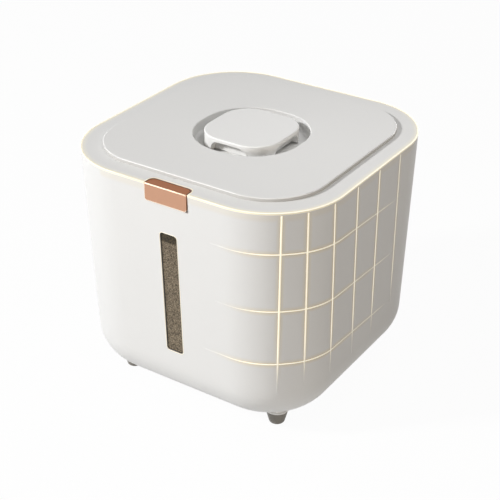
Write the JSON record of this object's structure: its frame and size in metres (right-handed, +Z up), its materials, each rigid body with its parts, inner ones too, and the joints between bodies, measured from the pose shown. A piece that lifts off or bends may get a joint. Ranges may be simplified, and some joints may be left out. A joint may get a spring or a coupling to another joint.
{
  "type": "airtight storage box",
  "caption": "Rounded-square airtight food storage box with rear-hinged lid, rose-gold front latch, narrow sight window, tapered feet and a lift-off cap over a desiccant basket.",
  "frame": {"origin": "floor level under the middle of the overall footprint, hinge and latch included", "axes": "+Z up, -Y towards the latch and sight window at the front, +X to the right of someone facing the front"},
  "size_m": [0.25, 0.261, 0.2334],
  "materials": {
    "body_white": "satin",
    "lid_white": "satin",
    "liner_white": "satin",
    "smoked_pane": "smoked",
    "dark_seal": "matte",
    "pale_seal": "matte",
    "foot_taupe": "satin",
    "pale_gold": "plated",
    "rose_gold": "plated satin",
    "steel": "brushed"
  },
  "bodies": {
    "box": {"tub": "body_white", "rim_collar": "body_white", "window_pane": "smoked_pane", "window_gasket": "dark_seal", "foot_front_left": "foot_taupe", "foot_front_right": "foot_taupe", "foot_rear_left": "foot_taupe", "foot_rear_right": "foot_taupe", "hinge_pin": "steel"},
    "lid": {"lid_cover": "lid_white", "lid_liner": "liner_white", "lid_gasket": "pale_seal", "rim_trim": "pale_gold", "lid_screws": "steel", "latch_pin": "steel", "latch_springs": "steel", "desiccant_basket": "liner_white"},
    "latch": {"latch_button": "rose_gold"},
    "cap": {"knob_cap": "lid_white", "cap_seal": "pale_seal"}
  },
  "joints": [
    {"name": "lid_hinge", "type": "hinge", "parent": "box", "child": "lid", "pos_m": [0, 0.1263, 0.2166], "axis": [-1, 0, 0], "range_deg": [0, 100]},
    {"name": "latch_pivot", "type": "hinge", "parent": "lid", "child": "latch", "pos_m": [0, -0.125, 0.2227], "axis": [-1, 0, 0], "range_deg": [0, 15], "stiffness_Nm_per_rad": 0.05, "springref_deg": -8.59, "deforming": ["latch_springs"]},
    {"name": "cap_lift", "type": "slide", "parent": "lid", "child": "cap", "axis": [0, 0, 1], "range_m": [0, 0.06]}
  ]
}
